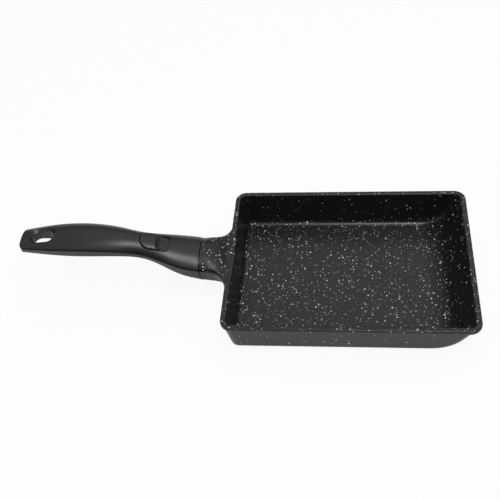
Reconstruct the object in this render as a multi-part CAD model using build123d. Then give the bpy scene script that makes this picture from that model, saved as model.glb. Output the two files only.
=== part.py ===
from build123d import *
import math
import os

# Tamagoyaki pan: a rectangular omelette pan with one curved end wall and a detachable handle.
# The origin is the centre of the pan on the plane it stands on. X runs along the pan towards the
# curved end wall, the handle points along -X, and Z is up. The model is symmetric about Y = 0.
# Each name below that ends in share or shares is a plain ratio or a table of them. The other sizes
# are millimetres or, where the name says so, degrees or a count.

# Pan tub
PAN_LENGTH = 208.0
PAN_WIDTH = 156.0
PAN_HEIGHT = 36.0
RIM_WIDTH = 4.5
RIM_THICKNESS = 4.0
RIM_CORNER_RADIUS = 10.0
RIM_EDGE_RADIUS = 1.1
WALL = 3.0
FLOOR = 3.0
WALL_DRAFT_DEGREES = 7.5
END_SLOPE_DEGREES = 62.0
END_ARC_RADIUS = 30.0
INNER_FILLET = 5.0
OUTER_FILLET = 7.5

# Induction plate pressed into the base
PLATE_LENGTH = 132.0
PLATE_WIDTH = 104.0
PLATE_THICKNESS = 0.8
PLATE_CORNER_RADIUS = 14.0
PLATE_OFFSET = 10.0
PLATE_MARGIN = 10.0
PLATE_HOLE_DIAMETER = 5.0
PLATE_HOLE_PITCH = 12.0

# Neck cast in one with the pan, and the gap between it and the handle
NECK_LENGTH = 23.0
SEAM_GAP = 0.9

# Handle, its outer sizes at the seam, its length and how far its crease rises
HANDLE_LENGTH = 156.8
SEAM_WIDTH = 39.2
SEAM_CREASE_HEIGHT = 37.2
SEAM_CROWN = 9.0
SEAM_DEPTH = 16.7
HANDLE_RISE = 23.3
HANDLE_WALL = 2.6
PARTING_STEP = 0.25
PARTING_GAP = 0.03
TAIL_WIDTH = 24.4
TAIL_CORNER_RADIUS = 5.0
SHOULDER_LEAN_DEGREES = 24.0
SHOULDER_SHARE = 0.62
SIDE_TAPER_SHARE = 0.15
BELLY_RADIUS_SHARE = 0.42

# Handle stations: place along the handle, half width, rise of the crease, crown above the crease
# and depth below it, as shares of the five sizes above that they follow
STATION_SHARES = (
    (0.000, 1.000, 0.000, 1.000, 1.000),
    (0.075, 0.990, 0.124, 0.990, 0.886),
    (0.150, 0.903, 0.270, 0.956, 0.731),
    (0.225, 0.770, 0.446, 0.911, 0.515),
    (0.300, 0.680, 0.597, 0.889, 0.385),
    (0.400, 0.714, 0.781, 0.844, 0.430),
    (0.540, 0.811, 0.948, 0.767, 0.580),
    (0.700, 0.837, 1.000, 0.700, 0.610),
    (0.840, 0.765, 0.966, 0.600, 0.495),
    (0.940, 0.658, 0.914, 0.489, 0.390),
    (1.000, 0.597, 0.876, 0.356, 0.300),
)

# Neck stations from the seam into the tub's wall: place along the neck, half width, fall of the top
# from the seam to the rim, crown, depth, taper of the sides as a share of that depth, shoulder lean
NECK_SHARES = (
    (0.00, 1.000, 0.00, 1.00, 1.00, 0.15, 1.00),
    (0.30, 1.025, 0.09, 0.96, 0.98, 0.17, 0.50),
    (0.55, 1.070, 0.29, 0.84, 0.95, 0.22, 0.20),
    (0.75, 1.190, 0.56, 0.64, 0.90, 0.36, 0.10),
    (0.90, 1.420, 0.82, 0.44, 0.84, 0.62, 0.10),
    (1.02, 1.780, 0.97, 0.32, 0.78, 1.00, 0.10),
    (1.28, 2.300, 1.10, 0.26, 0.72, 1.30, 0.10),
)

# Hang slot near the tail
SLOT_CENTRE_SHARE = 0.873
SLOT_LENGTH = 19.6
SLOT_WIDTH = 12.4
SLOT_DISH_LENGTH = 24.6
SLOT_DISH_WIDTH = 24.4
SLOT_DISH_DEPTH = 3.2
SLOT_LOWER_EDGE = 0.8

# Tang of the neck, in the tilted frame of the handle's front: x towards the pan, z away from the palm
AXIS_TILT_DEGREES = 16.0
AXIS_HEIGHT = 34.5
TANG_LENGTH = 29.0
TANG_WIDTH = 18.0
TANG_THICKNESS = 5.6
TANG_DROP = 1.7
TANG_ROOT = 8.0
TANG_TIP_RADIUS = 1.2
NOTCH_LENGTH = 3.4
NOTCH_DEPTH = 2.2
NOTCH_WIDTH = 9.0
NOTCH_LAND = 3.8

# Steel sleeve in the handle that takes the tang
SLEEVE_WALL = 0.8
SLEEVE_CLEARANCE = 0.3
SLEEVE_SETBACK = 0.5
SLEEVE_REACH = 0.5
SLEEVE_FIT = 0.05

# Well for the thumb slider
WELL_LENGTH = 26.0
WELL_WIDTH = 17.6
WELL_CENTRE = 43.2
WELL_FLOOR_LEVEL = 6.5
WELL_FLOOR_THICKNESS = 1.3
WELL_REAR_RADIUS = 8.4
WELL_FRONT_RADIUS = 3.4
WELL_EDGE_RADIUS = 0.5

# Thumb slider, its steel carrier and the wedges that lift the latch leaf
SLIDER_TRAVEL = 7.0
MOVING_CLEARANCE = 0.3
PAD_LENGTH = 13.4
PAD_TOP_LEVEL = 11.0
PAD_CROWN_RADIUS = 19.0
PAD_EDGE_RADIUS = 0.8
APRON_THICKNESS = 1.0
SCOOP_LENGTH = 3.6
SCOOP_SAG = 0.7
LIP_WIDTH = 0.9
LIP_HEIGHT = 0.9
STEM_LENGTH = 7.0
STEM_WIDTH = 8.0
STEM_SETBACK = 4.4
CARRIER_THICKNESS = 1.3
CARRIER_LENGTH = 13.0
CARRIER_WIDTH = 11.6
EAR_SPREAD = 17.2
EAR_LENGTH = 2.0
EAR_SETBACK = 4.7
EAR_SINK = 0.7
EAR_HEIGHT = 2.6
WEDGE_WIDTH = 1.2
WEDGE_LENGTH = 8.5
WEDGE_RAMP = 5.0
WEDGE_LIFT = 2.0
WEDGE_DROP = 1.5
WEDGE_TIP_GAP = 0.6

# Latch leaf and its two screws
LEAF_THICKNESS = 0.8
LEAF_WIDTH = 8.0
LEAF_LIFT = 0.25
LEAF_REAR = 60.5
LEAF_EAR_SPREAD = 11.4
LEAF_EAR_LENGTH = 3.6
LEAF_EAR_PLACE = 33.0
LEAF_TOOTH_GAP = 0.2
LEAF_TOOTH_FOOT = 0.3
LEAF_BOSS_LENGTH = 8.0
LEAF_BOSS_ROOT = 4.5
LATCH_SCREW_SETBACK = 4.0
LATCH_SCREW_SPREAD = 4.4
LATCH_SCREW_HEAD_DIAMETER = 3.2
LATCH_SCREW_HEAD_HEIGHT = 1.0
LATCH_SCREW_DIAMETER = 1.6
LATCH_SCREW_LENGTH = 3.6
LATCH_SCREW_DRIVE = 1.8

# Return springs of the slider
SPRING_DIAMETER = 2.6
SPRING_WIRE = 0.35
SPRING_TURNS = 10
SPRING_SPREAD = 14.8
SPRING_LEVEL = 3.0
SPRING_SEAT_GAP = 0.1

# Countersunk screw that holds the carrier to the slider
SLIDER_SCREW_HEAD_DIAMETER = 3.6
SLIDER_SCREW_HEAD_HEIGHT = 1.0
SLIDER_SCREW_DIAMETER = 1.9
SLIDER_SCREW_LENGTH = 4.0
SLIDER_SCREW_DRIVE = 1.9

# Hollows inside the handle
MECHANISM_REAR = 62.0
CHANNEL_WIDTH = 10.0
CHANNEL_HEIGHT = 4.4
CHANNEL_FRONT_GAP = 0.8
GRIP_HOLLOW_REAR_SHARE = 0.665
SCREW_WALL = 4.0

# Screws that hold the two shells together
SHELL_SCREW_HEAD_DIAMETER = 5.0
SHELL_SCREW_HEAD_HEIGHT = 2.0
SHELL_SCREW_DIAMETER = 2.8
SHELL_SCREW_LENGTH = 7.6
SHELL_SCREW_BELOW_PARTING = 4.6
SHELL_SCREW_DRIVE = 2.8
MIDDLE_SCREW_SETBACK = 4.8
REAR_SCREW_SHARE = 0.730
FRONT_SCREW_PLACE = 7.2
FRONT_SCREW_SPREAD = 28.0
HOLE_CLEARANCE = 0.15
THREAD_CLEARANCE = 0.02
DRIVE_WIDTH_SHARE = 0.28
DRIVE_DEPTH_SHARE = 0.55

# One overrun serves the cuts that must pass a face, and one reach those that pass the whole part
OVERRUN = 2.0
REACH = 400.0

# Places that follow from the sizes above
INNER_END = PAN_LENGTH / 2 - RIM_WIDTH
INNER_SIDE = PAN_WIDTH / 2 - RIM_WIDTH
LEVEL_TOLERANCE = RIM_EDGE_RADIUS / 2
NECK_FACE = -PAN_LENGTH / 2 - NECK_LENGTH
HANDLE_FACE = NECK_FACE - SEAM_GAP
HANDLE_TAIL = HANDLE_FACE - HANDLE_LENGTH
SEAM_TOP = SEAM_CREASE_HEIGHT + SEAM_CROWN
TILT = math.radians(AXIS_TILT_DEGREES)
AXIS = Plane(
    origin=(NECK_FACE, 0, AXIS_HEIGHT),
    x_dir=(math.cos(TILT), 0, -math.sin(TILT)),
    z_dir=(math.sin(TILT), 0, math.cos(TILT)),
)
TANG_TOP = TANG_THICKNESS / 2 - TANG_DROP
TANG_BOTTOM = -TANG_THICKNESS / 2 - TANG_DROP
NOTCH_REAR = -TANG_LENGTH + NOTCH_LAND
NOTCH_FRONT = NOTCH_REAR + NOTCH_LENGTH
NOTCH_FLOOR = TANG_TOP - NOTCH_DEPTH
SLEEVE_TOP = TANG_TOP + SLEEVE_CLEARANCE + SLEEVE_WALL
SLEEVE_BOTTOM = TANG_BOTTOM - SLEEVE_CLEARANCE - SLEEVE_WALL
SLEEVE_SIDE = TANG_WIDTH / 2 + SLEEVE_CLEARANCE + SLEEVE_WALL
SLEEVE_REAR = -TANG_LENGTH - SLEEVE_REACH
MECHANISM_FRONT = SLEEVE_REAR - SLEEVE_FIT
CEILING = WELL_FLOOR_LEVEL - WELL_FLOOR_THICKNESS
LEAF_LEVEL = SLEEVE_TOP + LEAF_LIFT
LEAF_TOP = LEAF_LEVEL + LEAF_THICKNESS
TOOTH_REAR = NOTCH_REAR + LEAF_TOOTH_GAP
LATCH_SCREW_PLACE = LATCH_SCREW_SETBACK - LEAF_REAR
WELL_REAR = -WELL_CENTRE - WELL_LENGTH / 2
WELL_FRONT = -WELL_CENTRE + WELL_LENGTH / 2
PAD_REAR = WELL_REAR + MOVING_CLEARANCE
PAD_FRONT = PAD_REAR + PAD_LENGTH
APRON_FRONT = WELL_FRONT - MOVING_CLEARANCE - SLIDER_TRAVEL
PAD_FOOT = WELL_FLOOR_LEVEL + MOVING_CLEARANCE
STEM_REAR = PAD_REAR + STEM_SETBACK
STEM_FRONT = STEM_REAR + STEM_LENGTH
STEM_CENTRE = (STEM_REAR + STEM_FRONT) / 2
CARRIER_TOP = CEILING - MOVING_CLEARANCE
CARRIER_BOTTOM = CARRIER_TOP - CARRIER_THICKNESS
CARRIER_FRONT = STEM_CENTRE + CARRIER_LENGTH / 2
CARRIER_REAR = STEM_CENTRE - CARRIER_LENGTH / 2
EAR_FRONT = CARRIER_FRONT - EAR_SETBACK
EAR_TOP = CARRIER_TOP - EAR_SINK
WEDGE_TIP = -LEAF_EAR_PLACE - LEAF_EAR_LENGTH - WEDGE_TIP_GAP
SLOT_CENTRE = HANDLE_FACE - SLOT_CENTRE_SHARE * HANDLE_LENGTH
MIDDLE_SCREW_PLACE = NECK_FACE - MECHANISM_REAR * math.cos(TILT) - MIDDLE_SCREW_SETBACK
REAR_SCREW_PLACE = HANDLE_FACE - REAR_SCREW_SHARE * HANDLE_LENGTH


# Helpers

def both_sides(half):
    """The span from minus a half width to plus it."""
    return (-half, half)


def span_box(x_span, y_span, z_span):
    """A box given by its lowest and highest value along each axis."""
    size = Box(x_span[1] - x_span[0], y_span[1] - y_span[0], z_span[1] - z_span[0])
    return Pos(sum(x_span) / 2, sum(y_span) / 2, sum(z_span) / 2) * size


def axis_box(x_span, y_span, z_span):
    """A box in the tilted frame of the handle's front."""
    return AXIS * span_box(x_span, y_span, z_span)


def rod(x, y, z_span, diameter):
    """An upright rod between two heights."""
    cylinder = Cylinder(diameter / 2, z_span[1] - z_span[0])
    return Pos(x, y, sum(z_span) / 2) * cylinder


def is_level(edge):
    """True for an edge that stays at one height."""
    box = edge.bounding_box()
    return box.max.Z - box.min.Z < LEVEL_TOLERANCE


def is_at_height(edge, height):
    """True for a level edge at a given height."""
    return is_level(edge) and abs(edge.center().Z - height) < LEVEL_TOLERANCE


# Pan tub

def end_profile(half_length, floor, arc_radius):
    """Side view of the tub: a drafted wall at -X, a flat floor and an arc that runs up to +X."""
    slope = math.radians(END_SLOPE_DEGREES)
    draft = math.tan(math.radians(WALL_DRAFT_DEGREES))
    inner_radius = END_ARC_RADIUS - FLOOR
    inner_rise = END_ARC_RADIUS - inner_radius * math.cos(slope)
    arc_start = INNER_END - inner_radius * math.sin(slope) - (PAN_HEIGHT - inner_rise) / math.tan(slope)
    arc_end_x = arc_start + arc_radius * math.sin(slope)
    arc_end_z = END_ARC_RADIUS - arc_radius * math.cos(slope)
    arc_middle_x = arc_start + arc_radius * math.sin(slope / 2)
    arc_middle_z = END_ARC_RADIUS - arc_radius * math.cos(slope / 2)
    top_x = arc_end_x + (PAN_HEIGHT - arc_end_z) / math.tan(slope)
    low_x = -half_length + (PAN_HEIGHT - floor) * draft
    corners = ((arc_end_x, arc_end_z), (top_x, PAN_HEIGHT), (-half_length, PAN_HEIGHT), (low_x, floor))
    wire = Polyline(*corners, (arc_start, floor))
    wire += ThreePointArc((arc_start, floor), (arc_middle_x, arc_middle_z), (arc_end_x, arc_end_z))
    return make_face(Plane.XZ * wire)


def side_profile(half_width, floor):
    """End view of the tub: two drafted side walls."""
    low = half_width - (PAN_HEIGHT - floor) * math.tan(math.radians(WALL_DRAFT_DEGREES))
    corners = ((-half_width, PAN_HEIGHT), (half_width, PAN_HEIGHT), (low, floor), (-low, floor))
    return make_face(Plane.YZ * Polyline(*corners, close=True))


def is_arc_seam(edge):
    """True for the two level seams along Y where the end arc runs into its neighbours."""
    box = edge.bounding_box()
    return is_level(edge) and box.max.X - box.min.X < LEVEL_TOLERANCE and edge.center().X > 0


def tub_block(half_length, half_width, floor, arc_radius, edge_radius):
    """The solid inside one skin of the tub, with its lower and upright edges rounded."""
    along = extrude(end_profile(half_length, floor, arc_radius), PAN_WIDTH, both=True)
    across = extrude(side_profile(half_width, floor), PAN_LENGTH, both=True)
    block = along & across
    rounded = [edge for edge in block.edges() if not is_at_height(edge, PAN_HEIGHT)]
    return fillet([edge for edge in rounded if not is_arc_seam(edge)], edge_radius)


def tub_cavity():
    """The room inside the tub."""
    return tub_block(INNER_END, INNER_SIDE, FLOOR, END_ARC_RADIUS - FLOOR, INNER_FILLET)


def rim_flange():
    """The flat rim with its rounded outer corners and edges."""
    plate = extrude(RectangleRounded(PAN_LENGTH, PAN_WIDTH, RIM_CORNER_RADIUS), RIM_THICKNESS)
    plate = Pos(0, 0, PAN_HEIGHT - RIM_THICKNESS) * plate
    return fillet([edge for edge in plate.edges() if is_level(edge)], RIM_EDGE_RADIUS)


def round_inner_rim(tub):
    """The tub with the inner edge of its rim rounded."""
    reach_x = INNER_END + LEVEL_TOLERANCE
    reach_y = INNER_SIDE + LEVEL_TOLERANCE
    inner = []
    for edge in tub.edges():
        box = edge.bounding_box()
        inside = box.max.X < reach_x and box.max.Y < reach_y and box.min.X > -reach_x and box.min.Y > -reach_y
        if inside and is_at_height(edge, PAN_HEIGHT):
            inner.append(edge)
    return fillet(inner, RIM_EDGE_RADIUS)


def tang():
    """The tongue of the neck that the handle slides onto, with the notch for the latch."""
    blank = span_box((-TANG_LENGTH, TANG_ROOT), both_sides(TANG_WIDTH / 2), (TANG_BOTTOM, TANG_TOP))
    tip = blank.faces().sort_by(Axis.X)[0]
    blank = chamfer(tip.edges(), TANG_TIP_RADIUS)
    notch = span_box((NOTCH_REAR, NOTCH_FRONT), both_sides(NOTCH_WIDTH / 2), (NOTCH_FLOOR, TANG_TOP + OVERRUN))
    return AXIS * (blank - notch)


def pan_body():
    """Cast tub, rim, neck and tang in one."""
    outer = tub_block(INNER_END + WALL, INNER_SIDE + WALL, 0, END_ARC_RADIUS, OUTER_FILLET)
    outer &= span_box(both_sides(PAN_LENGTH), both_sides(PAN_WIDTH), (0, PAN_HEIGHT - RIM_THICKNESS / 2))
    cavity = tub_cavity()
    tub = round_inner_rim(outer + rim_flange() - cavity)
    neck = loft([neck_face(*row) for row in neck_stations()]) - cavity
    return tub + neck + tang() - induction_plate()


def induction_plate():
    """Perforated steel plate pressed flush into the base."""
    outline = RectangleRounded(PLATE_LENGTH, PLATE_WIDTH, PLATE_CORNER_RADIUS)
    along = int((PLATE_LENGTH - PLATE_MARGIN) / PLATE_HOLE_PITCH)
    across = int((PLATE_WIDTH - PLATE_MARGIN) / PLATE_HOLE_PITCH)
    holes = GridLocations(PLATE_HOLE_PITCH, PLATE_HOLE_PITCH, along, across)
    outline -= holes * Circle(PLATE_HOLE_DIAMETER / 2)
    return Pos(-PLATE_OFFSET, 0, 0) * extrude(outline, PLATE_THICKNESS)


# Sections of the neck and the handle

def dome_wire(half_width, crease, crown, lean_share=1.0):
    """The domed top from one crease to the other: a shoulder arc, the crown arc and a shoulder arc."""
    lean = math.radians(lean_share * SHOULDER_LEAN_DEGREES)
    radius = SHOULDER_SHARE * crown
    centre_y = half_width - radius * math.cos(lean)
    centre_z = -radius * math.sin(lean)
    flat = crown - radius
    drop = (centre_y ** 2 + centre_z ** 2 - flat ** 2) / (2 * (flat - centre_z))
    big = crown + drop
    joint_angle = math.atan2(centre_z + drop, centre_y)
    middle_angle = (lean + joint_angle) / 2
    middle_y = centre_y + radius * math.cos(middle_angle)
    middle_z = crease + centre_z + radius * math.sin(middle_angle)
    joint_y = big * math.cos(joint_angle)
    joint_z = crease + big * math.sin(joint_angle) - drop
    wire = ThreePointArc((half_width, crease), (middle_y, middle_z), (joint_y, joint_z))
    wire += ThreePointArc((joint_y, joint_z), (0, crease + crown), (-joint_y, joint_z))
    wire += ThreePointArc((-joint_y, joint_z), (-middle_y, middle_z), (-half_width, crease))
    return wire


def belly_wire(half_width, crease, depth, taper_share=SIDE_TAPER_SHARE):
    """The lower half: tapered sides, rounded lower corners and a flat underside."""
    low = half_width - taper_share * depth
    floor = crease - depth
    points = ((-half_width, crease), (-low, floor), (low, floor), (half_width, crease))
    return FilletPolyline(*points, radius=BELLY_RADIUS_SHARE * depth)


def neck_face(x, half_width, crease, crown, depth, taper_share, lean_share):
    """Section of the neck, domed above and rounded below."""
    wire = dome_wire(half_width, crease, crown, lean_share)
    wire += belly_wire(half_width, crease, depth, taper_share)
    return make_face(Plane.YZ.offset(x) * wire)


def upper_face(x, half_width, crease, crown, depth):
    """Section of the upper shell at one place along the handle."""
    wire = dome_wire(half_width, crease, crown) + Line((-half_width, crease), (half_width, crease))
    return make_face(Plane.YZ.offset(x) * wire)


def lower_face(x, half_width, crease, crown, depth):
    """Section of the lower shell, set in and down a little at the parting line."""
    half = half_width - PARTING_STEP
    top = crease - PARTING_GAP
    wire = belly_wire(half, top, depth - PARTING_GAP) + Line((half, top), (-half, top))
    return make_face(Plane.YZ.offset(x) * wire)


def core_face(x, half_width, crease, crown, depth):
    """Section of the room inside the handle's wall, its widest line a little below the parting."""
    half = half_width - HANDLE_WALL
    widest = crease - HANDLE_WALL / 2
    wire = dome_wire(half, widest, crown - HANDLE_WALL / 2)
    wire += belly_wire(half, widest, depth - HANDLE_WALL * 3 / 2)
    return make_face(Plane.YZ.offset(x) * wire)


def handle_stations():
    """The real sizes at each station of the handle: x, half width, crease, crown and depth."""
    rows = []
    for along, width, rise, crown, depth in STATION_SHARES:
        x = HANDLE_FACE - along * HANDLE_LENGTH
        crease = SEAM_CREASE_HEIGHT + rise * HANDLE_RISE
        rows.append((x, width * SEAM_WIDTH / 2, crease, crown * SEAM_CROWN, depth * SEAM_DEPTH))
    return rows


def neck_stations():
    """The real sizes at each station of the neck, the last ones inside the tub's wall."""
    rows = []
    for along, width, fall, crown, depth, taper_share, lean_share in NECK_SHARES:
        x = NECK_FACE + along * NECK_LENGTH
        crease = SEAM_TOP - fall * (SEAM_TOP - PAN_HEIGHT) - crown * SEAM_CROWN
        sizes = (width * SEAM_WIDTH / 2, crease, crown * SEAM_CROWN, depth * SEAM_DEPTH)
        rows.append((x, *sizes, taper_share, lean_share))
    return rows


def sizes_at(x):
    """The sizes of the handle at one place along it, read between the stations."""
    rows = handle_stations()
    for near, far in zip(rows, rows[1:]):
        if far[0] <= x <= near[0]:
            part = (near[0] - x) / (near[0] - far[0])
            return [before + part * (after - before) for before, after in zip(near, far)]
    return rows[-1]


def crease_height(x):
    """Height of the crease at one place along the handle."""
    return sizes_at(x)[2]


def top_height(x):
    """Height of the handle's top on its centre line at one place along it."""
    return sizes_at(x)[2] + sizes_at(x)[3]


# Hollows and holes of the handle

def tail_prism():
    """Plan view of the whole handle with its rounded tail, as a tall prism."""
    tail = extrude(RectangleRounded(HANDLE_LENGTH, TAIL_WIDTH, TAIL_CORNER_RADIUS), REACH, both=True)
    tail = Pos(HANDLE_TAIL + HANDLE_LENGTH / 2, 0, 0) * tail
    front_span = (HANDLE_TAIL + TAIL_CORNER_RADIUS, HANDLE_FACE + OVERRUN)
    return tail + span_box(front_span, both_sides(SEAM_WIDTH), both_sides(REACH))


def core():
    """The room inside the handle before it is divided, from the seam to the hang slot."""
    return loft([core_face(*row) for row in handle_stations()[:-2]])


def mechanism_hollow():
    """The hollow that holds the slider's carrier, the springs and the leaf."""
    room = axis_box((-MECHANISM_REAR, MECHANISM_FRONT), both_sides(SEAM_WIDTH), (-REACH, CEILING))
    return core() & room


def grip_hollow():
    """The hollow in the middle of the grip, behind the middle screw's boss."""
    high = MIDDLE_SCREW_PLACE - SHELL_SCREW_HEAD_DIAMETER / 2 - HOLE_CLEARANCE - SCREW_WALL
    low = HANDLE_FACE - GRIP_HOLLOW_REAR_SHARE * HANDLE_LENGTH
    return core() & span_box((low, high), both_sides(SEAM_WIDTH), both_sides(REACH))


def sleeve_pocket():
    """The socket for the sleeve, and the channel above it in which the leaf lifts."""
    side = SLEEVE_SIDE + SLEEVE_FIT
    rear = MECHANISM_FRONT - SLEEVE_FIT
    pocket = axis_box((rear, SEAM_WIDTH), both_sides(side), (SLEEVE_BOTTOM - SLEEVE_FIT, SLEEVE_TOP + SLEEVE_FIT))
    channel_span = (rear, NOTCH_FRONT + CHANNEL_FRONT_GAP)
    channel_heights = (SLEEVE_BOTTOM, SLEEVE_TOP + CHANNEL_HEIGHT)
    return pocket + axis_box(channel_span, both_sides(CHANNEL_WIDTH / 2), channel_heights)


def oval(rear, front, width, rear_radius, front_radius):
    """Plan of the well or the slider: round at the rear, squarer at the front."""
    corners = ((rear, -width / 2), (front, -width / 2), (front, width / 2), (rear, width / 2))
    radii = (rear_radius, front_radius, front_radius, rear_radius)
    return make_face(FilletPolyline(*corners, radius=radii, close=True))


def well_cut():
    """The open well in the top of the handle and the slot in its floor."""
    plan = oval(WELL_REAR, WELL_FRONT, WELL_WIDTH, WELL_REAR_RADIUS, WELL_FRONT_RADIUS)
    well = AXIS * Pos(0, 0, WELL_FLOOR_LEVEL) * extrude(plan, WELL_LENGTH)
    slot_span = (STEM_REAR - MOVING_CLEARANCE, STEM_FRONT + SLIDER_TRAVEL + MOVING_CLEARANCE)
    slot_side = STEM_WIDTH / 2 + MOVING_CLEARANCE
    return well + axis_box(slot_span, both_sides(slot_side), (CEILING - OVERRUN, WELL_FLOOR_LEVEL + OVERRUN))


def hang_slot():
    """The slot for a hook, right through both shells."""
    return Pos(SLOT_CENTRE, 0, 0) * extrude(SlotOverall(SLOT_LENGTH, SLOT_WIDTH), REACH, both=True)


def slot_dish():
    """The shallow dish around the slot's mouth, in line with the top of the handle there."""
    front, rear = (SLOT_CENTRE + side for side in both_sides(-SLOT_LENGTH / 2))
    slope = math.degrees(math.atan((top_height(front) - top_height(rear)) / (front - rear)))
    mouth = SlotOverall(SLOT_DISH_LENGTH, SLOT_DISH_WIDTH)
    dish = loft([Pos(0, 0, -SLOT_DISH_DEPTH) * SlotOverall(SLOT_LENGTH, SLOT_WIDTH), mouth], ruled=True)
    dish += extrude(mouth, OVERRUN)
    return Pos(SLOT_CENTRE, 0, top_height(SLOT_CENTRE)) * Rot(0, -slope, 0) * dish


def lower_slot_edges(shell):
    """The lower mouth edges of the hang slot in the lower shell."""
    mouth = []
    for edge in shell.edges():
        box = edge.bounding_box()
        inside = box.min.X > SLOT_CENTRE - SLOT_LENGTH / 2 - THREAD_CLEARANCE
        inside = inside and box.max.X < SLOT_CENTRE + SLOT_LENGTH / 2 + THREAD_CLEARANCE
        inside = inside and abs(edge.center().Y) < SLOT_WIDTH / 2 + THREAD_CLEARANCE
        if inside and box.max.Z < crease_height(SLOT_CENTRE) - SLOT_LOWER_EDGE:
            mouth.append(edge)
    return mouth


def well_edges(shell):
    """The edges of the well where it opens through the domed top."""
    edges = []
    for edge in shell.edges():
        place = AXIS.to_local_coords(edge.center())
        along = WELL_REAR - THREAD_CLEARANCE < place.X < WELL_FRONT + THREAD_CLEARANCE
        across = abs(place.Y) < WELL_WIDTH / 2 + THREAD_CLEARANCE
        if along and across and place.Z > WELL_FLOOR_LEVEL + WELL_EDGE_RADIUS:
            edges.append(edge)
    return edges


# Screws

def drive_recess(length, depth):
    """A cross recess, its floor at z = -depth."""
    width = DRIVE_WIDTH_SHARE * length
    bar = span_box(both_sides(length / 2), both_sides(width / 2), (-depth, OVERRUN))
    return bar + Rot(0, 0, 90) * bar


def pan_screw(head_diameter, head_height, diameter, length, drive):
    """A screw with a rounded head above z = 0 and its shank below."""
    head = Pos(0, 0, head_height / 2) * Cylinder(head_diameter / 2, head_height)
    head = fillet(head.edges().sort_by(Axis.Z)[-1], head_height / 2)
    shank = rod(0, 0, (-length, 0), diameter)
    return head + shank - Pos(0, 0, head_height) * drive_recess(drive, DRIVE_DEPTH_SHARE * head_height)


def countersunk_screw():
    """The screw of the carrier, its flat head above z = 0 and its shank below."""
    cone = Cone(SLIDER_SCREW_DIAMETER / 2, SLIDER_SCREW_HEAD_DIAMETER / 2, SLIDER_SCREW_HEAD_HEIGHT)
    head = Pos(0, 0, SLIDER_SCREW_HEAD_HEIGHT / 2) * cone
    shank = rod(0, 0, (-SLIDER_SCREW_LENGTH, 0), SLIDER_SCREW_DIAMETER)
    depth = DRIVE_DEPTH_SHARE * SLIDER_SCREW_HEAD_HEIGHT
    return head + shank - Pos(0, 0, SLIDER_SCREW_HEAD_HEIGHT) * drive_recess(SLIDER_SCREW_DRIVE, depth)


def shell_screw_places():
    """X and Y of each screw that joins the shells."""
    places = [(MIDDLE_SCREW_PLACE, 0), (REAR_SCREW_PLACE, 0)]
    for side in both_sides(FRONT_SCREW_SPREAD / 2):
        places.append((HANDLE_FACE - FRONT_SCREW_PLACE, side))
    return places


def shell_screw_seat(x):
    """Height of the face that a shell screw's head bears on."""
    return crease_height(x) - SHELL_SCREW_BELOW_PARTING


def shell_screws():
    """The screws that join the shells, as one group of solids."""
    sizes = (SHELL_SCREW_HEAD_DIAMETER, SHELL_SCREW_HEAD_HEIGHT, SHELL_SCREW_DIAMETER, SHELL_SCREW_LENGTH)
    screw = Rot(180, 0, 0) * pan_screw(*sizes, SHELL_SCREW_DRIVE)
    return Compound([Pos(x, y, shell_screw_seat(x)) * screw for x, y in shell_screw_places()])


def shell_screw_holes(lower):
    """Counterbored holes for the lower shell, or pilot holes for the upper one."""
    holes = []
    for x, y in shell_screw_places():
        seat = shell_screw_seat(x)
        top = seat + SHELL_SCREW_LENGTH + THREAD_CLEARANCE
        clearance = HOLE_CLEARANCE if lower else THREAD_CLEARANCE
        holes.append(rod(x, y, (seat - OVERRUN, top), SHELL_SCREW_DIAMETER + 2 * clearance))
        if lower:
            holes.append(rod(x, y, (0, seat), SHELL_SCREW_HEAD_DIAMETER + 2 * HOLE_CLEARANCE))
    return holes


def latch_screw_places():
    """Where the two latch screws stand on the leaf."""
    return [Pos(LATCH_SCREW_PLACE, side, 0) for side in both_sides(LATCH_SCREW_SPREAD / 2)]


def latch_screws():
    """The two screws that fasten the leaf to its boss, as one group of solids."""
    sizes = (LATCH_SCREW_HEAD_DIAMETER, LATCH_SCREW_HEAD_HEIGHT, LATCH_SCREW_DIAMETER, LATCH_SCREW_LENGTH)
    screw = pan_screw(*sizes, LATCH_SCREW_DRIVE)
    return Compound([AXIS * place * Pos(0, 0, LEAF_TOP) * screw for place in latch_screw_places()])


def latch_screw_holes(clearance):
    """Holes for the two latch screws with a given clearance."""
    low = LEAF_TOP - LATCH_SCREW_LENGTH - clearance
    hole = rod(0, 0, (low, LEAF_TOP + OVERRUN), LATCH_SCREW_DIAMETER + 2 * clearance)
    return [AXIS * place * hole for place in latch_screw_places()]


# Pieces of the handle

def handle_upper_shell():
    """The domed upper half of the handle."""
    shell = loft([upper_face(*row) for row in handle_stations()]) & tail_prism()
    shell -= mechanism_hollow()
    shell -= grip_hollow()
    shell -= sleeve_pocket()
    shell -= well_cut()
    for hole in shell_screw_holes(lower=False):
        shell -= hole
    shell -= hang_slot() + slot_dish()
    return fillet(well_edges(shell), WELL_EDGE_RADIUS)


def handle_lower_shell():
    """The lower half of the handle, with the boss for the leaf."""
    shell = loft([lower_face(*row) for row in handle_stations()]) & tail_prism()
    shell -= mechanism_hollow()
    shell -= grip_hollow()
    shell -= sleeve_pocket()
    boss_span = (-MECHANISM_REAR - THREAD_CLEARANCE, LEAF_BOSS_LENGTH - LEAF_REAR)
    shell += axis_box(boss_span, both_sides(LEAF_WIDTH / 2), (LEAF_LEVEL - LEAF_BOSS_ROOT, LEAF_LEVEL))
    for hole in shell_screw_holes(lower=True) + latch_screw_holes(THREAD_CLEARANCE):
        shell -= hole
    shell -= hang_slot()
    return fillet(lower_slot_edges(shell), SLOT_LOWER_EDGE)


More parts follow.
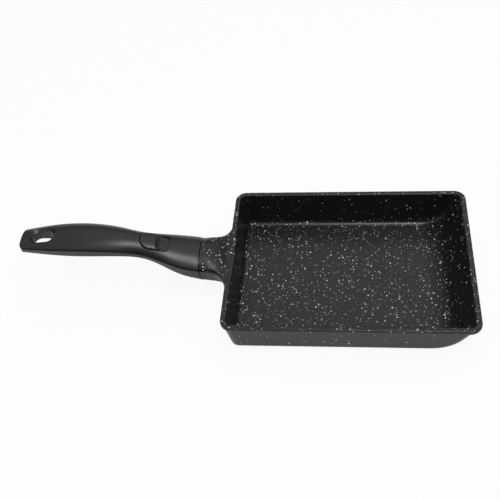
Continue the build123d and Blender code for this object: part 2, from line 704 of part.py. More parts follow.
def socket_sleeve():
    """Sheet-steel sleeve that takes the tang, with a window for the leaf's tooth."""
    x_span = (SLEEVE_REAR, SEAM_WIDTH)
    bore_side = SLEEVE_SIDE - SLEEVE_WALL
    bore_heights = (SLEEVE_BOTTOM + SLEEVE_WALL, SLEEVE_TOP - SLEEVE_WALL)
    sleeve = axis_box(x_span, both_sides(SLEEVE_SIDE), (SLEEVE_BOTTOM, SLEEVE_TOP))
    sleeve -= axis_box((SLEEVE_REAR - OVERRUN, SEAM_WIDTH + OVERRUN), both_sides(bore_side), bore_heights)
    window_heights = (SLEEVE_TOP - OVERRUN, SLEEVE_TOP + OVERRUN)
    window = axis_box((NOTCH_REAR, NOTCH_FRONT), both_sides(NOTCH_WIDTH / 2), window_heights)
    front = span_box((-REACH, HANDLE_FACE - SLEEVE_SETBACK), both_sides(SEAM_WIDTH), both_sides(REACH))
    return (sleeve - window) & front


def latch_leaf():
    """Spring-steel leaf whose tooth drops into the notch of the tang."""
    half = LEAF_WIDTH / 2
    leaf = span_box((-LEAF_REAR, TOOTH_REAR + LEAF_THICKNESS), both_sides(half), (LEAF_LEVEL, LEAF_TOP))
    ear_span = (-LEAF_EAR_PLACE - LEAF_EAR_LENGTH, -LEAF_EAR_PLACE)
    leaf += span_box(ear_span, both_sides(LEAF_EAR_SPREAD / 2), (LEAF_LEVEL, LEAF_TOP))
    tooth_heights = (NOTCH_FLOOR + LEAF_TOOTH_FOOT, LEAF_TOP)
    leaf += span_box((TOOTH_REAR, TOOTH_REAR + LEAF_THICKNESS), both_sides(half), tooth_heights)
    leaf = AXIS * leaf
    for hole in latch_screw_holes(HOLE_CLEARANCE):
        leaf -= hole
    return leaf


def slider_profile():
    """Side view of the slider: the pad, a scoop in front of it and a low lip at the front of the apron."""
    apron_top = PAD_FOOT + APRON_THICKNESS
    scoop_end = PAD_FRONT + SCOOP_LENGTH
    scoop_middle = ((PAD_FRONT + scoop_end) / 2, (PAD_TOP_LEVEL + apron_top) / 2 - SCOOP_SAG)
    lip_rear = APRON_FRONT - LIP_WIDTH
    wire = ThreePointArc((PAD_FRONT, PAD_TOP_LEVEL), scoop_middle, (scoop_end, apron_top))
    wire += Polyline(
        (scoop_end, apron_top), (lip_rear, apron_top), (lip_rear, apron_top + LIP_HEIGHT),
        (APRON_FRONT, apron_top + LIP_HEIGHT), (APRON_FRONT, PAD_FOOT), (PAD_REAR, PAD_FOOT),
        (PAD_REAR, PAD_TOP_LEVEL), (PAD_FRONT, PAD_TOP_LEVEL),
    )
    return make_face(Plane.XZ * wire)


def thumb_slider():
    """The moulded thumb pad with its apron and the stem through the well's floor."""
    width = WELL_WIDTH - 2 * MOVING_CLEARANCE
    radii = (WELL_REAR_RADIUS - MOVING_CLEARANCE, WELL_FRONT_RADIUS - MOVING_CLEARANCE)
    plan = oval(PAD_REAR, APRON_FRONT, width, *radii)
    pad = Pos(0, 0, PAD_FOOT) * extrude(plan, PAD_TOP_LEVEL - PAD_FOOT)
    pad &= Pos(0, 0, PAD_TOP_LEVEL - PAD_CROWN_RADIUS) * Rot(0, 90, 0) * Cylinder(PAD_CROWN_RADIUS, REACH)
    pad = fillet(pad.faces().sort_by(Axis.Z)[-1].edges(), PAD_EDGE_RADIUS)
    pad &= extrude(slider_profile(), WELL_WIDTH, both=True)
    stem_heights = (CARRIER_TOP, PAD_FOOT + APRON_THICKNESS)
    stem = span_box((STEM_REAR, STEM_FRONT), both_sides(STEM_WIDTH / 2), stem_heights)
    shank_top = CARRIER_BOTTOM + SLIDER_SCREW_HEAD_HEIGHT + SLIDER_SCREW_LENGTH + THREAD_CLEARANCE
    hole = rod(STEM_CENTRE, 0, (CARRIER_BOTTOM, shank_top), SLIDER_SCREW_DIAMETER + 2 * THREAD_CLEARANCE)
    return AXIS * (pad + stem - hole)


def wedge(side):
    """One ramp under the carrier that runs beneath an ear of the leaf and lifts it."""
    ramp_end = WEDGE_TIP - WEDGE_RAMP
    rear = WEDGE_TIP - WEDGE_LENGTH
    low = LEAF_LEVEL - WEDGE_DROP
    outline = Polyline(
        (WEDGE_TIP, low), (WEDGE_TIP, LEAF_LEVEL - MOVING_CLEARANCE), (ramp_end, LEAF_LEVEL + WEDGE_LIFT),
        (ramp_end, CARRIER_TOP), (rear, CARRIER_TOP), (rear, low), close=True,
    )
    ramp = extrude(make_face(Plane.XZ * outline), WEDGE_WIDTH / 2, both=True)
    return Pos(0, side * (CARRIER_WIDTH - WEDGE_WIDTH) / 2, 0) * ramp


def slider_carrier():
    """Steel plate below the well's floor, with spring ears and wedges."""
    plate = span_box((CARRIER_REAR, CARRIER_FRONT), both_sides(CARRIER_WIDTH / 2), (CARRIER_BOTTOM, CARRIER_TOP))
    ears = span_box((EAR_FRONT - EAR_LENGTH, EAR_FRONT), both_sides(EAR_SPREAD / 2), (EAR_TOP - EAR_HEIGHT, EAR_TOP))
    leaf_room = span_box(
        (EAR_FRONT - EAR_LENGTH - OVERRUN, EAR_FRONT + OVERRUN),
        both_sides(CARRIER_WIDTH / 2 - WEDGE_WIDTH),
        (EAR_TOP - EAR_HEIGHT - OVERRUN, CARRIER_BOTTOM),
    )
    carrier = plate + (ears - leaf_room) + wedge(1) + wedge(-1)
    return AXIS * (carrier - slider_screw_shape(HOLE_CLEARANCE))


def slider_screw_shape(clearance):
    """The room for the carrier's screw, a countersink and a hole, with a given clearance."""
    sink = Cone(
        SLIDER_SCREW_HEAD_DIAMETER / 2 + clearance,
        SLIDER_SCREW_DIAMETER / 2 + clearance,
        SLIDER_SCREW_HEAD_HEIGHT,
    )
    hole = rod(STEM_CENTRE, 0, (CARRIER_BOTTOM, CARRIER_TOP + OVERRUN), SLIDER_SCREW_DIAMETER + 2 * clearance)
    return hole + Pos(STEM_CENTRE, 0, CARRIER_BOTTOM + SLIDER_SCREW_HEAD_HEIGHT / 2) * sink


def slider_screw():
    """The countersunk screw, put in from below."""
    seat = CARRIER_BOTTOM + SLIDER_SCREW_HEAD_HEIGHT
    return AXIS * Pos(STEM_CENTRE, 0, seat) * Rot(180, 0, 0) * countersunk_screw()


def slider_springs():
    """The two wound springs ahead of the carrier's ears, as one group of solids."""
    rear = EAR_FRONT + SPRING_SEAT_GAP + SPRING_WIRE / 2
    front = MECHANISM_FRONT - SPRING_SEAT_GAP - SPRING_WIRE / 2
    radius = (SPRING_DIAMETER - SPRING_WIRE) / 2
    path = Helix((front - rear) / SPRING_TURNS, front - rear, radius)
    wire = Plane(path @ 0, z_dir=path % 0) * Circle(SPRING_WIRE / 2)
    coil = Rot(0, 90, 0) * sweep(wire, path=path, is_frenet=True)
    return Compound([AXIS * Pos(rear, side, SPRING_LEVEL) * coil for side in both_sides(SPRING_SPREAD / 2)])


PIECES = (
    pan_body,
    induction_plate,
    handle_upper_shell,
    handle_lower_shell,
    socket_sleeve,
    latch_leaf,
    latch_screws,
    thumb_slider,
    slider_carrier,
    slider_screw,
    slider_springs,
    shell_screws,
)

os.makedirs("parts", exist_ok=True)
for piece in PIECES:
    export_step(piece(), "parts/" + piece.__name__ + ".step")
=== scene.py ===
"""Finishes and studio of a rectangular omelette pan with a detachable handle."""

import math

import bpy
from mathutils import Matrix, Vector

bl_info = {
    "name": "Omelette pan",
    "version": (1, 0, 0),
    "blender": (4, 5, 0),
    "location": "View3D > Sidebar > Pan",
    "description": "Finishes the pan and its detachable handle and sets up the studio",
    "category": "Object",
}

MM = 0.001

# Place of the camera, worked out from the four corners of the rim and the edges of the floor
AIM = Vector((-0.0916, 0.0378, 0.0))
CAMERA_DISTANCE = 0.7213
CAMERA_YAW = math.radians(-11.17)
CAMERA_PITCH = math.radians(48.48)
CAMERA_ROLL = math.radians(-8.43)
# The lens and the sensor are in millimetres
CAMERA_LENS = 55.47
SENSOR_WIDTH = 36.0

# Chips of the coating. Each layer has the turn of its pattern in radians, how many times slimmer along X
# its chips are, its cell and its radius against the ones in the settings, and how many of its cells hold
# a chip.
CHIP_LAYER_SHARES = (
    (0.4, 1.0, 0.62, 0.62, 0.55),
    (0.9, 2.8, 1.05, 0.66, 0.26),
    (-0.7, 2.6, 1.05, 0.66, 0.24),
    (0.0, 1.0, 1.0, 1.0, 0.48),
)
SMALLEST_CHIP_SHARE = 0.3
CHIP_EDGE_SHARE = 0.25
TEAR_GRAIN = 1.6 * MM
TEAR_SWING = 1.1 * MM
DUST_SPACING = 1.15 * MM
DUST_RADIUS = 0.4 * MM
DUST_SHARE = 0.5

# Ground and film of the coating, and how far up a surface faces where its chips and dust are sparsest and
# fullest. The sparse chips and dust on steep walls are painted shade.
MOTTLE_GRAIN = 0.9 * MM
PEEL_GRAIN = 0.7 * MM
COATING_RELIEF = 0.05 * MM
COATING_RELIEF_SHARE = 0.25
COATING_GLOSS_SWING = 0.06
COATING_IOR = 1.45
SHADED_WALL_FACING = 0.25
LIT_FLOOR_FACING = 0.85

# Moulded plastic. Its real grain is about 0.1 mm, too fine to show, so it is drawn coarser.
CLOUD_GRAIN = 14 * MM
MOULD_GRAIN = 0.35 * MM
MOULD_RELIEF = 0.03 * MM
MOULD_RELIEF_SHARE = 0.22
MOULD_SHADE_SWING = 0.15
MOULD_GLOSS_SWING = 0.05
PLASTIC_IOR = 1.5

# Steel, brushed along X, with the spacing of its lines and how much smoother and rougher it gets
# across them
BRUSH_SHORTENING = 0.02
BRUSH_RELIEF = 0.02 * MM
BRUSH_RELIEF_SHARE = 0.3
BRUSH_SMOOTHER = 0.1
BRUSH_ROUGHER = 0.12
PLATE_ROUGHNESS = 0.34
PLATE_LINES = 0.5 * MM
SHEET_ROUGHNESS = 0.3
SHEET_LINES = 0.3 * MM
SCREW_ROUGHNESS = 0.38
SCREW_LINES = 0.4 * MM

# Studio, in metres. The floor lies just under the pan, so that their faces don't meet.
FLOOR_DROP = 0.02 * MM
PAPER_GLOW_SHARE = 0.92
MIRRORED_GLOW_SHARE = 0.3
KEY_OFFSET = (0.29, -0.42)
KEY_SIZE = (0.5, 0.6)
# Light of the room along an axis: where it is dim, where it is bright, its strength at both, and its fade.
# It is dim at the horizon, dark behind the camera and a little dimmer on the left than on the right.
ROOM_LIGHT = (
    ("Z", 0.1, 0.8, 0.12, 1.05, "SMOOTHSTEP"),
    ("Y", -0.95, -0.25, 0.12, 1.0, "SMOOTHSTEP"),
    ("X", -0.45, 0.1, 0.76, 1.1, "LINEAR"),
)

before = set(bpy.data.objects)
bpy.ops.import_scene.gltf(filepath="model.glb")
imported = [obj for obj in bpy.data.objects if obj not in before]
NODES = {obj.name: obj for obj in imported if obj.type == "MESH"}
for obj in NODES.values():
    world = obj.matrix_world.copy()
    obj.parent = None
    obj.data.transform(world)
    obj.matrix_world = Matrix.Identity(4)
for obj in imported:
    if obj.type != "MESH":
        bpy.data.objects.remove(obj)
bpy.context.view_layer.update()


# Colours, nodes and materials

def hex_colour(code):
    """The linear colour of an sRGB hex value."""
    channels = [int(code[i:i + 2], 16) / 255 for i in (1, 3, 5)]
    linear = [c / 12.92 if c <= 0.04045 else ((c + 0.055) / 1.055) ** 2.4 for c in channels]
    return (*linear, 1.0)


def add_node(tree, kind, inputs=None, **settings):
    """Adds a node, gives it its settings, and sets or links its inputs."""
    new = tree.nodes.new(kind)
    for name, value in settings.items():
        setattr(new, name, value)
    for name, value in (inputs or {}).items():
        if isinstance(value, bpy.types.NodeSocket):
            tree.links.new(value, new.inputs[name])
        else:
            new.inputs[name].default_value = value
    return new


def new_material(name):
    """An empty node material, its tree and its output node."""
    material = bpy.data.materials.new(name)
    material.use_nodes = True
    material.node_tree.nodes.clear()
    output = add_node(material.node_tree, "ShaderNodeOutputMaterial")
    return material, material.node_tree, output


def finish_node(name, material):
    """Puts a material on a CAD piece."""
    NODES[name].data.materials.clear()
    NODES[name].data.materials.append(material)


def chips(tree, place, spacing, radius, share):
    """A mask of round chips, 1 inside a chip, and a random number for each chip. Spacing and radius are in
    metres, and share is how many of the cells hold a chip."""
    largest = radius / spacing
    cells = add_node(tree, "ShaderNodeTexVoronoi", {"Vector": place, "Scale": 1 / spacing})
    random = add_node(tree, "ShaderNodeSeparateColor", {"Color": cells.outputs["Color"]})
    reach = add_node(tree, "ShaderNodeMapRange", {
        "Value": random.outputs["Green"], "To Min": SMALLEST_CHIP_SHARE * largest, "To Max": largest})
    inside = add_node(tree, "ShaderNodeMath", {
        0: reach.outputs[0], 1: cells.outputs["Distance"]}, operation="SUBTRACT")
    edge = add_node(tree, "ShaderNodeMapRange", {
        "Value": inside.outputs[0], "From Min": 0.0, "From Max": CHIP_EDGE_SHARE * largest})
    present = add_node(tree, "ShaderNodeMath", {0: random.outputs["Red"], 1: share}, operation="LESS_THAN")
    mask = add_node(tree, "ShaderNodeMath", {
        0: edge.outputs[0], 1: present.outputs[0]}, operation="MULTIPLY")
    return mask.outputs[0], random.outputs["Blue"]


def torn_place(tree, point):
    """The place, pushed about by up to about half a millimetre, so that chips look torn and not round."""
    tear = add_node(tree, "ShaderNodeTexNoise", {"Vector": point, "Scale": 1 / TEAR_GRAIN, "Detail": 1.0})
    centred = add_node(tree, "ShaderNodeVectorMath", {
        0: tear.outputs["Color"], 1: (0.5, 0.5, 0.5)}, operation="SUBTRACT")
    shift = add_node(tree, "ShaderNodeVectorMath", {
        0: centred.outputs[0], "Scale": TEAR_SWING}, operation="SCALE")
    torn = add_node(tree, "ShaderNodeVectorMath", {0: point, 1: shift.outputs[0]}, operation="ADD")
    return torn.outputs[0]


def chip_layers(tree, torn, painted_light_share, settings):
    """The mask and the random number of each layer of chips."""
    layers = []
    for turn, slimness, spacing_share, radius_share, share in CHIP_LAYER_SHARES:
        # A turn and a start of its own keep a layer's cells from lining up with another's
        turned = add_node(tree, "ShaderNodeMapping", {
            "Vector": torn, "Rotation": (0.0, 0.0, turn), "Scale": (slimness, 1.0, 1.0),
            "Location": (turn, slimness, share)})
        # Painted shade: fewer chips where a surface faces sideways darken the steep walls
        filled = add_node(tree, "ShaderNodeMath", {0: painted_light_share, 1: share}, operation="MULTIPLY")
        spacing = settings.chip_spacing * spacing_share
        radius = settings.chip_radius * radius_share
        layers.append(chips(tree, turned.outputs[0], spacing, radius, filled.outputs[0]))
    return layers


def stone_coating(settings):
    """Sprayed stone-effect non-stick coating on cast aluminium: near-black satin ground, a fine grey dust
    and whitish chips, thick on what faces up and thin on steep walls, which paints shade onto the walls."""
    material, tree, output = new_material("stone_effect_coating")
    place = add_node(tree, "ShaderNodeTexCoord")
    point = place.outputs["Object"]
    torn = torn_place(tree, point)
    facing = add_node(tree, "ShaderNodeSeparateXYZ", {"Vector": place.outputs["Normal"]})
    # Painted shade: chips and dust get fewer on steep walls, so that the walls look darker than the floor
    painted_light_share = add_node(tree, "ShaderNodeMapRange", {
        "Value": facing.outputs["Z"], "From Min": SHADED_WALL_FACING, "From Max": LIT_FLOOR_FACING,
        "To Min": settings.shaded_wall_share, "To Max": 1.0}).outputs[0]
    mottle = add_node(tree, "ShaderNodeTexNoise", {
        "Vector": point, "Scale": 1 / MOTTLE_GRAIN, "Detail": 3.0})
    colour = add_node(tree, "ShaderNodeMix", {
        "Factor": mottle.outputs[0], 6: settings.ground_colour, 7: settings.dust_ground_colour},
        data_type="RGBA")
    dust, _ = chips(tree, torn, DUST_SPACING, DUST_RADIUS, DUST_SHARE)
    dusty = add_node(tree, "ShaderNodeMath", {0: dust, 1: painted_light_share}, operation="MULTIPLY")
    colour = add_node(tree, "ShaderNodeMix", {
        "Factor": dusty.outputs[0], 6: colour.outputs[2], 7: settings.dust_colour}, data_type="RGBA")
    relief = 0.0
    for mask, chance in chip_layers(tree, torn, painted_light_share, settings):
        tone = add_node(tree, "ShaderNodeMix", {
            "Factor": chance, 6: settings.chip_dark_colour, 7: settings.chip_colour}, data_type="RGBA")
        colour = add_node(tree, "ShaderNodeMix", {
            "Factor": mask, 6: colour.outputs[2], 7: tone.outputs[2]}, data_type="RGBA")
        relief = add_node(tree, "ShaderNodeMath", {0: relief, 1: mask}, operation="MAXIMUM").outputs[0]
    # The sprayed film has a fine orange peel, drawn a little coarser than real so that it shows
    peel = add_node(tree, "ShaderNodeTexNoise", {"Vector": point, "Scale": 1 / PEEL_GRAIN, "Detail": 2.0})
    height = add_node(tree, "ShaderNodeMath", {0: peel.outputs[0], 1: relief}, operation="ADD")
    bump = add_node(tree, "ShaderNodeBump", {
        "Height": height.outputs[0], "Strength": COATING_RELIEF_SHARE, "Distance": COATING_RELIEF})
    rough = add_node(tree, "ShaderNodeMapRange", {
        "Value": mottle.outputs[0], "To Min": settings.roughness - COATING_GLOSS_SWING,
        "To Max": settings.roughness + COATING_GLOSS_SWING})
    shader = add_node(tree, "ShaderNodeBsdfPrincipled", {
        "Base Color": colour.outputs[2], "Roughness": rough.outputs[0], "IOR": COATING_IOR,
        "Normal": bump.outputs[0]})
    tree.links.new(shader.outputs[0], output.inputs["Surface"])
    return material


def moulded_plastic(name, colour, roughness):
    """Glass-filled nylon moulded in a spark-eroded tool: dark grey, satin, with a fine even grain and faint
    cloudiness in its gloss."""
    material, tree, output = new_material(name)
    point = add_node(tree, "ShaderNodeTexCoord").outputs["Object"]
    cloud = add_node(tree, "ShaderNodeTexNoise", {"Vector": point, "Scale": 1 / CLOUD_GRAIN, "Detail": 3.0})
    rough = add_node(tree, "ShaderNodeMapRange", {
        "Value": cloud.outputs[0], "To Min": roughness - MOULD_GLOSS_SWING,
        "To Max": roughness + MOULD_GLOSS_SWING})
    grain = add_node(tree, "ShaderNodeTexNoise", {"Vector": point, "Scale": 1 / MOULD_GRAIN, "Detail": 2.0})
    bump = add_node(tree, "ShaderNodeBump", {
        "Height": grain.outputs[0], "Strength": MOULD_RELIEF_SHARE, "Distance": MOULD_RELIEF})
    shade = add_node(tree, "ShaderNodeMapRange", {
        "Value": grain.outputs[0], "To Min": 1 - MOULD_SHADE_SWING, "To Max": 1 + MOULD_SHADE_SWING})
    tint = add_node(tree, "ShaderNodeMix", {
        "Factor": 1.0, 6: colour, 7: shade.outputs[0]}, data_type="RGBA", blend_type="MULTIPLY")
    shader = add_node(tree, "ShaderNodeBsdfPrincipled", {
        "Base Color": tint.outputs[2], "Roughness": rough.outputs[0], "IOR": PLASTIC_IOR,
        "Normal": bump.outputs[0]})
    tree.links.new(shader.outputs[0], output.inputs["Surface"])
    return material


def brushed_steel(name, colour, roughness, line_spacing):
    """Stainless, spring or plated steel: bright metal with fine lines along X that spread its gloss."""
    material, tree, output = new_material(name)
    point = add_node(tree, "ShaderNodeTexCoord").outputs["Object"]
    lines = add_node(tree, "ShaderNodeMapping", {"Vector": point, "Scale": (BRUSH_SHORTENING, 1.0, 1.0)})
    brush = add_node(tree, "ShaderNodeTexNoise", {
        "Vector": lines.outputs[0], "Scale": 1 / line_spacing, "Detail": 4.0})
    rough = add_node(tree, "ShaderNodeMapRange", {
        "Value": brush.outputs[0], "To Min": roughness - BRUSH_SMOOTHER,
        "To Max": roughness + BRUSH_ROUGHER})
    bump = add_node(tree, "ShaderNodeBump", {
        "Height": brush.outputs[0], "Strength": BRUSH_RELIEF_SHARE, "Distance": BRUSH_RELIEF})
    shader = add_node(tree, "ShaderNodeBsdfPrincipled", {
        "Base Color": colour, "Metallic": 1.0, "Roughness": rough.outputs[0], "Normal": bump.outputs[0]})
    tree.links.new(shader.outputs[0], output.inputs["Surface"])
    return material


# Sizes and colours that a user would change

class CoatingSettings(bpy.types.PropertyGroup):
    """The pan's stone-effect coating."""

    ground_colour: bpy.props.FloatVectorProperty(
        name="Ground", description="Darkest tone of the coating", subtype="COLOR", size=4, min=0, max=1,
        default=hex_colour("#0f0f10"))
    dust_ground_colour: bpy.props.FloatVectorProperty(
        name="Mottle", description="Lighter tone of the mottled ground", subtype="COLOR", size=4,
        min=0, max=1, default=hex_colour("#212122"))
    dust_colour: bpy.props.FloatVectorProperty(
        name="Dust", description="The fine grey dust", subtype="COLOR", size=4, min=0, max=1,
        default=hex_colour("#4c4c4c"))
    chip_dark_colour: bpy.props.FloatVectorProperty(
        name="Grey chips", description="The darkest chips", subtype="COLOR", size=4, min=0, max=1,
        default=hex_colour("#747473"))
    chip_colour: bpy.props.FloatVectorProperty(
        name="White chips", description="The lightest chips", subtype="COLOR", size=4, min=0, max=1,
        default=hex_colour("#fbfbf9"))
    chip_spacing: bpy.props.FloatProperty(
        name="Chip spacing", description="Size of the cells that may hold a chip", unit="LENGTH",
        default=3.3 * MM)
    chip_radius: bpy.props.FloatProperty(
        name="Chip radius", description="Radius of the largest chips", unit="LENGTH", default=1.0 * MM)
    # Painted shade: a smaller share of chips darkens the steep walls
    shaded_wall_share: bpy.props.FloatProperty(
        name="Chips on walls", description="Chips on a steep wall against those on the floor",
        subtype="FACTOR", min=0, max=1, default=0.22)
    roughness: bpy.props.FloatProperty(
        name="Roughness", description="Satin of the coating", subtype="FACTOR", min=0, max=1, default=0.31)


class HandleSettings(bpy.types.PropertyGroup):
    """The moulded parts of the handle."""

    colour: bpy.props.FloatVectorProperty(
        name="Handle", description="Colour of the two shells", subtype="COLOR", size=4, min=0, max=1,
        default=hex_colour("#1a1a1b"))
    slider_colour: bpy.props.FloatVectorProperty(
        name="Slider", description="Colour of the thumb slider", subtype="COLOR", size=4, min=0, max=1,
        default=hex_colour("#1e1e1f"))
    roughness: bpy.props.FloatProperty(
        name="Roughness", description="Satin of the plastic", subtype="FACTOR", min=0, max=1, default=0.33)


class MetalSettings(bpy.types.PropertyGroup):
    """The steel pieces."""

    plate_colour: bpy.props.FloatVectorProperty(
        name="Base plate", description="Stainless steel of the base", subtype="COLOR", size=4, min=0, max=1,
        default=hex_colour("#c4c3c0"))
    sheet_colour: bpy.props.FloatVectorProperty(
        name="Sheet", description="Sleeve, leaf, carrier and springs", subtype="COLOR", size=4,
        min=0, max=1, default=hex_colour("#bcbcba"))
    screw_colour: bpy.props.FloatVectorProperty(
        name="Screws", description="Zinc-plated screws", subtype="COLOR", size=4, min=0, max=1,
        default=hex_colour("#aeb0b2"))


class StudioSettings(bpy.types.PropertyGroup):
    """Floor and key lamp."""

    floor_size: bpy.props.FloatProperty(
        name="Floor", description="Side of the square floor", unit="LENGTH", default=12.0)
    floor_colour: bpy.props.FloatVectorProperty(
        name="Floor colour", description="Colour of the pale floor", subtype="COLOR", size=4, min=0, max=1,
        default=hex_colour("#f4f4f4"))
    key_power: bpy.props.FloatProperty(
        name="Key lamp", description="Power of the softbox overhead", unit="POWER", default=8.0)
    key_height: bpy.props.FloatProperty(
        name="Key height", description="Height of the softbox", unit="LENGTH", default=1.45)


# Pieces

class PAN_OT_coat_body(bpy.types.Operator):
    """Coats the cast tub, rim and neck"""

    bl_idname = "pan.coat_body"
    bl_label = "Coat the pan body"

    def execute(self, context):
        finish_node("pan_body", stone_coating(context.scene.pan_coating))
        return {"FINISHED"}


class PAN_OT_finish_base_plate(bpy.types.Operator):
    """Brushes the perforated base plate"""

    bl_idname = "pan.finish_base_plate"
    bl_label = "Finish the base plate"

    def execute(self, context):
        colour = context.scene.pan_metal.plate_colour
        steel = brushed_steel("brushed_stainless_plate", colour, PLATE_ROUGHNESS, PLATE_LINES)
        finish_node("induction_plate", steel)
        return {"FINISHED"}


class PAN_OT_finish_handle(bpy.types.Operator):
    """Gives the two handle shells their moulded finish"""

    bl_idname = "pan.finish_handle"
    bl_label = "Finish the handle shells"

    def execute(self, context):
        settings = context.scene.pan_handle
        plastic = moulded_plastic("moulded_nylon_handle", settings.colour, settings.roughness)
        for name in ("handle_upper_shell", "handle_lower_shell"):
            finish_node(name, plastic)
        return {"FINISHED"}


class PAN_OT_finish_slider(bpy.types.Operator):
    """Gives the thumb slider its moulded finish"""

    bl_idname = "pan.finish_slider"
    bl_label = "Finish the thumb slider"

    def execute(self, context):
        settings = context.scene.pan_handle
        plastic = moulded_plastic("moulded_slider", settings.slider_colour, settings.roughness)
        finish_node("thumb_slider", plastic)
        return {"FINISHED"}


class PAN_OT_finish_latch(bpy.types.Operator):
    """Finishes the sleeve, leaf, carrier and springs inside the handle"""

    bl_idname = "pan.finish_latch"
    bl_label = "Finish the latch"

    def execute(self, context):
        colour = context.scene.pan_metal.sheet_colour
        steel = brushed_steel("cold_rolled_steel", colour, SHEET_ROUGHNESS, SHEET_LINES)
        for name in ("socket_sleeve", "latch_leaf", "slider_carrier", "slider_springs"):
            finish_node(name, steel)
        return {"FINISHED"}


class PAN_OT_finish_screws(bpy.types.Operator):
    """Finishes the screws"""

    bl_idname = "pan.finish_screws"
    bl_label = "Finish the screws"

    def execute(self, context):
        colour = context.scene.pan_metal.screw_colour
        zinc = brushed_steel("zinc_plated_steel", colour, SCREW_ROUGHNESS, SCREW_LINES)
        for name in ("latch_screws", "slider_screw", "shell_screws"):
            finish_node(name, zinc)
        return {"FINISHED"}


# Studio

def floor_material(colour):
    """Matt white paper. What the camera sees of it glows almost fully, so that it stays white with a soft
    shadow. What is mirrored of it glows less, so that the pan's walls show the shadow close under it."""
    material, tree, output = new_material("white_paper_floor")
    paper = add_node(tree, "ShaderNodeBsdfDiffuse", {"Color": colour})
    glow = add_node(tree, "ShaderNodeEmission", {"Strength": 1.0})
    path = add_node(tree, "ShaderNodeLightPath")
    mirrored = add_node(tree, "ShaderNodeMath", {
        0: path.outputs["Is Glossy Ray"], 1: path.outputs["Is Transmission Ray"]}, operation="ADD")
    weaker = add_node(tree, "ShaderNodeMath", {
        0: mirrored.outputs[0], 1: MIRRORED_GLOW_SHARE}, operation="MULTIPLY")
    share = add_node(tree, "ShaderNodeMath", {
        0: path.outputs["Is Camera Ray"], 1: PAPER_GLOW_SHARE, 2: weaker.outputs[0]},
        operation="MULTIPLY_ADD")
    mix = add_node(tree, "ShaderNodeMixShader", {
        0: share.outputs[0], 1: paper.outputs[0], 2: glow.outputs[0]})
    tree.links.new(mix.outputs[0], output.inputs["Surface"])
    return material


def add_softbox(name, place, aim, size, power):
    """A rectangular area lamp that points at a place."""
    data = bpy.data.lights.new(name, "AREA")
    data.shape = "RECTANGLE"
    data.size, data.size_y = size
    data.energy = power
    lamp = bpy.data.objects.new(name, data)
    lamp.location = place
    lamp.rotation_euler = (aim - place).to_track_quat("-Z", "Y").to_euler()
    bpy.context.scene.collection.objects.link(lamp)


def add_camera():
    """The camera at the photograph's viewing angle."""
    forward = Vector((math.sin(CAMERA_YAW) * math.cos(CAMERA_PITCH),
                      math.cos(CAMERA_YAW) * math.cos(CAMERA_PITCH), -math.sin(CAMERA_PITCH)))
    level = Vector((math.cos(CAMERA_YAW), -math.sin(CAMERA_YAW), 0.0))
    upright = level.cross(forward)
    right = math.cos(CAMERA_ROLL) * level + math.sin(CAMERA_ROLL) * upright
    up = math.cos(CAMERA_ROLL) * upright - math.sin(CAMERA_ROLL) * level
    data = bpy.data.cameras.new("camera")
    data.lens = CAMERA_LENS
    data.sensor_width = SENSOR_WIDTH
    camera = bpy.data.objects.new("camera", data)
    turn = Matrix((right, up, -forward)).transposed().to_4x4()
    camera.matrix_world = Matrix.Translation(AIM - CAMERA_DISTANCE * forward) @ turn
    bpy.context.scene.collection.objects.link(camera)
    bpy.context.scene.camera = camera


def light_world():
    """A room that is bright overhead and falls off towards the horizon, the camera's side and the left."""
    world = bpy.data.worlds.new("studio")
    world.use_nodes = True
    bpy.context.scene.world = world
    tree = world.node_tree
    tree.nodes.clear()
    direction = add_node(tree, "ShaderNodeTexCoord")
    heading = add_node(tree, "ShaderNodeSeparateXYZ", {"Vector": direction.outputs["Generated"]})
    strength = 1.0
    for axis, dim_place, bright_place, dim, bright, fade in ROOM_LIGHT:
        level = add_node(tree, "ShaderNodeMapRange", {
            "Value": heading.outputs[axis], "From Min": dim_place, "From Max": bright_place,
            "To Min": dim, "To Max": bright}, interpolation_type=fade)
        strength = add_node(tree, "ShaderNodeMath", {
            0: strength, 1: level.outputs[0]}, operation="MULTIPLY").outputs[0]
    light = add_node(tree, "ShaderNodeBackground", {"Strength": strength})
    output = add_node(tree, "ShaderNodeOutputWorld")
    tree.links.new(light.outputs[0], output.inputs["Surface"])


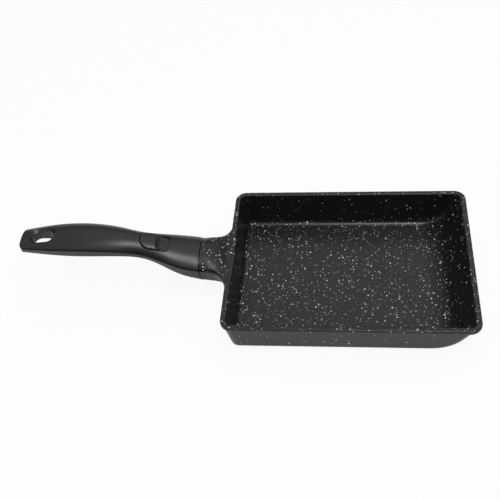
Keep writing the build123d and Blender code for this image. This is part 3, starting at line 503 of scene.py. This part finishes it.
class PAN_OT_set_stage(bpy.types.Operator):
    """Adds the floor, key lamp, world and camera"""

    bl_idname = "pan.set_stage"
    bl_label = "Set the stage"

    def execute(self, context):
        settings = context.scene.pan_studio
        bpy.ops.object.select_all(action="DESELECT")
        bpy.ops.mesh.primitive_plane_add(size=settings.floor_size, location=(0, 0, -FLOOR_DROP))
        floor = context.object
        floor.name = "floor"
        floor.data.materials.append(floor_material(settings.floor_colour))
        key_place = AIM + Vector((*KEY_OFFSET, settings.key_height))
        add_softbox("key_softbox", key_place, AIM, KEY_SIZE, settings.key_power)
        light_world()
        add_camera()
        context.scene.view_settings.view_transform = "Standard"
        return {"FINISHED"}


class PAN_PT_pieces(bpy.types.Panel):
    """Lists the pan's pieces and their settings"""

    bl_label = "Omelette pan"
    bl_space_type = "VIEW_3D"
    bl_region_type = "UI"
    bl_category = "Pan"

    def draw(self, context):
        for group_name in GROUPS:
            group = getattr(context.scene, group_name)
            box = self.layout.box()
            for name in group.__annotations__:
                box.prop(group, name)
        for step in STEPS:
            self.layout.operator(step.bl_idname)


STEPS = (
    PAN_OT_coat_body,
    PAN_OT_finish_base_plate,
    PAN_OT_finish_handle,
    PAN_OT_finish_slider,
    PAN_OT_finish_latch,
    PAN_OT_finish_screws,
    PAN_OT_set_stage,
)
GROUPS = {
    "pan_coating": CoatingSettings,
    "pan_handle": HandleSettings,
    "pan_metal": MetalSettings,
    "pan_studio": StudioSettings,
}


def register():
    """Registers the settings, the operators and the panel."""
    for name, group in GROUPS.items():
        bpy.utils.register_class(group)
        setattr(bpy.types.Scene, name, bpy.props.PointerProperty(type=group))
    for step in (*STEPS, PAN_PT_pieces):
        bpy.utils.register_class(step)


def unregister():
    """Takes them away again."""
    for step in reversed((*STEPS, PAN_PT_pieces)):
        bpy.utils.unregister_class(step)
    for name, group in reversed(GROUPS.items()):
        delattr(bpy.types.Scene, name)
        bpy.utils.unregister_class(group)


def main():
    """Finishes every piece and sets the stage."""
    register()
    for step in STEPS:
        group, name = step.bl_idname.split(".")
        getattr(getattr(bpy.ops, group), name)()


if __name__ == "__main__":
    main()
